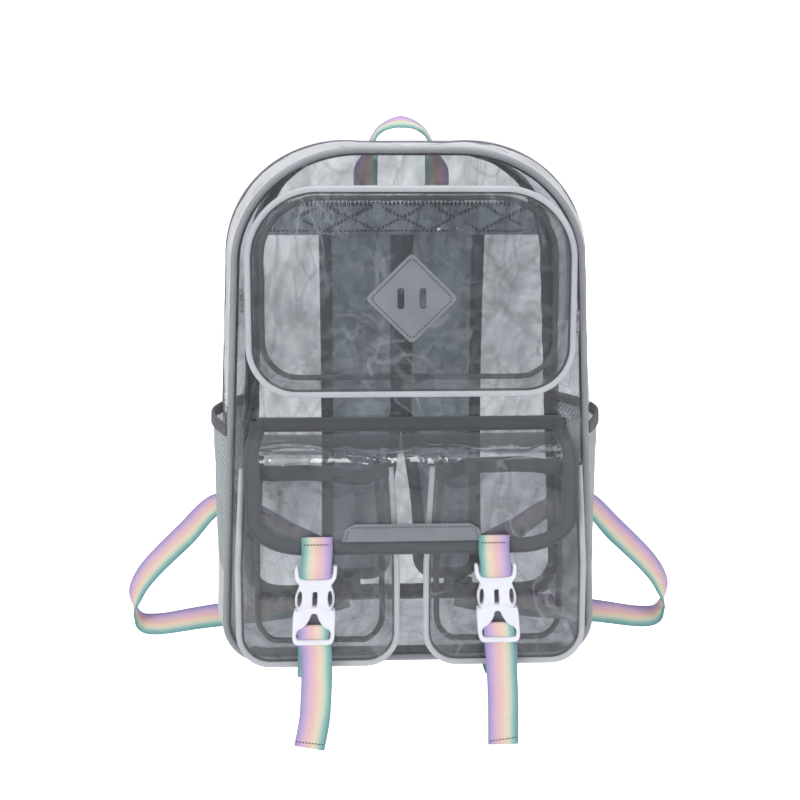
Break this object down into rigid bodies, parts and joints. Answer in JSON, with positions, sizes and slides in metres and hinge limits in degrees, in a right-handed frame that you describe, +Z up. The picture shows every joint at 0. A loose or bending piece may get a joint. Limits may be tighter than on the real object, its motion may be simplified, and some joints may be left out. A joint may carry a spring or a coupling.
{
  "type": "backpack",
  "caption": "Clear backpack with a zipped front pocket, buckled flap pockets, mesh side pockets, shoulder pads and a grab handle.",
  "frame": {"origin": "underside of the grab handle's apex, where the bag hangs", "axes": "+Z up along the bag, +Y from the front to the wearer's back, +X to the right seen from the front"},
  "size_m": [0.5644, 0.2445, 0.5229],
  "materials": {
    "clear_sheet": "clear glossy soft PVC sheet, slightly smoky",
    "grey_leatherette": "light grey fine-grained leatherette",
    "dark_binding": "dark grey woven binding tape",
    "pad_cloth": "blue-grey woven polyester",
    "rainbow_webbing": "webbing with a soft gradient from teal over cream and pink to lilac",
    "white_plastic": "near-white satin moulded acetal",
    "zip_tape": "grey zip tape with a nylon coil",
    "zip_metal": "plated zip slider",
    "side_mesh": "light grey fine mesh"
  },
  "bodies": {
    "root": {"front_panel": "clear_sheet", "back_panel": "clear_sheet", "front_piping": "grey_leatherette", "back_binding": "dark_binding", "gusset_front": "clear_sheet", "main_zip": "zip_tape", "gusset_rear": "clear_sheet", "base_band": "grey_leatherette", "side_panel_left": "clear_sheet", "side_panel_right": "clear_sheet", "top_pocket_front": "clear_sheet", "top_pocket_piping": "grey_leatherette", "top_pocket_lip": "clear_sheet", "top_pocket_zip": "zip_tape", "top_pocket_rear_band": "clear_sheet", "top_pocket_base_band": "clear_sheet", "top_pocket_slider_left": "zip_metal", "top_pocket_slider_right": "zip_metal", "diamond_patch": "grey_leatherette", "flap_seam": "dark_binding", "flap_sheet": "clear_sheet", "flap_binding": "dark_binding", "flap_tab": "grey_leatherette", "yoke_band": "pad_cloth", "grab_handle": "rainbow_webbing", "mesh_pocket_left": "side_mesh", "mesh_hem_left": "dark_binding", "low_pocket_front_left": "clear_sheet", "low_pocket_piping_left": "grey_leatherette", "low_pocket_gusset_left": "clear_sheet", "low_pocket_mouth_left": "dark_binding", "buckle_male_left": "white_plastic", "buckle_female_left": "white_plastic", "flap_strap_left": "rainbow_webbing", "lower_strap_left": "rainbow_webbing", "shoulder_pad_left": "pad_cloth", "pad_binding_left": "dark_binding", "side_loop_left": "rainbow_webbing", "anchor_tab_left": "dark_binding", "mesh_pocket_right": "side_mesh", "mesh_hem_right": "dark_binding", "low_pocket_front_right": "clear_sheet", "low_pocket_piping_right": "grey_leatherette", "low_pocket_gusset_right": "clear_sheet", "low_pocket_mouth_right": "dark_binding", "buckle_male_right": "white_plastic", "buckle_female_right": "white_plastic", "flap_strap_right": "rainbow_webbing", "lower_strap_right": "rainbow_webbing", "shoulder_pad_right": "pad_cloth", "pad_binding_right": "dark_binding", "side_loop_right": "rainbow_webbing", "anchor_tab_right": "dark_binding"}
  },
  "joints": []
}
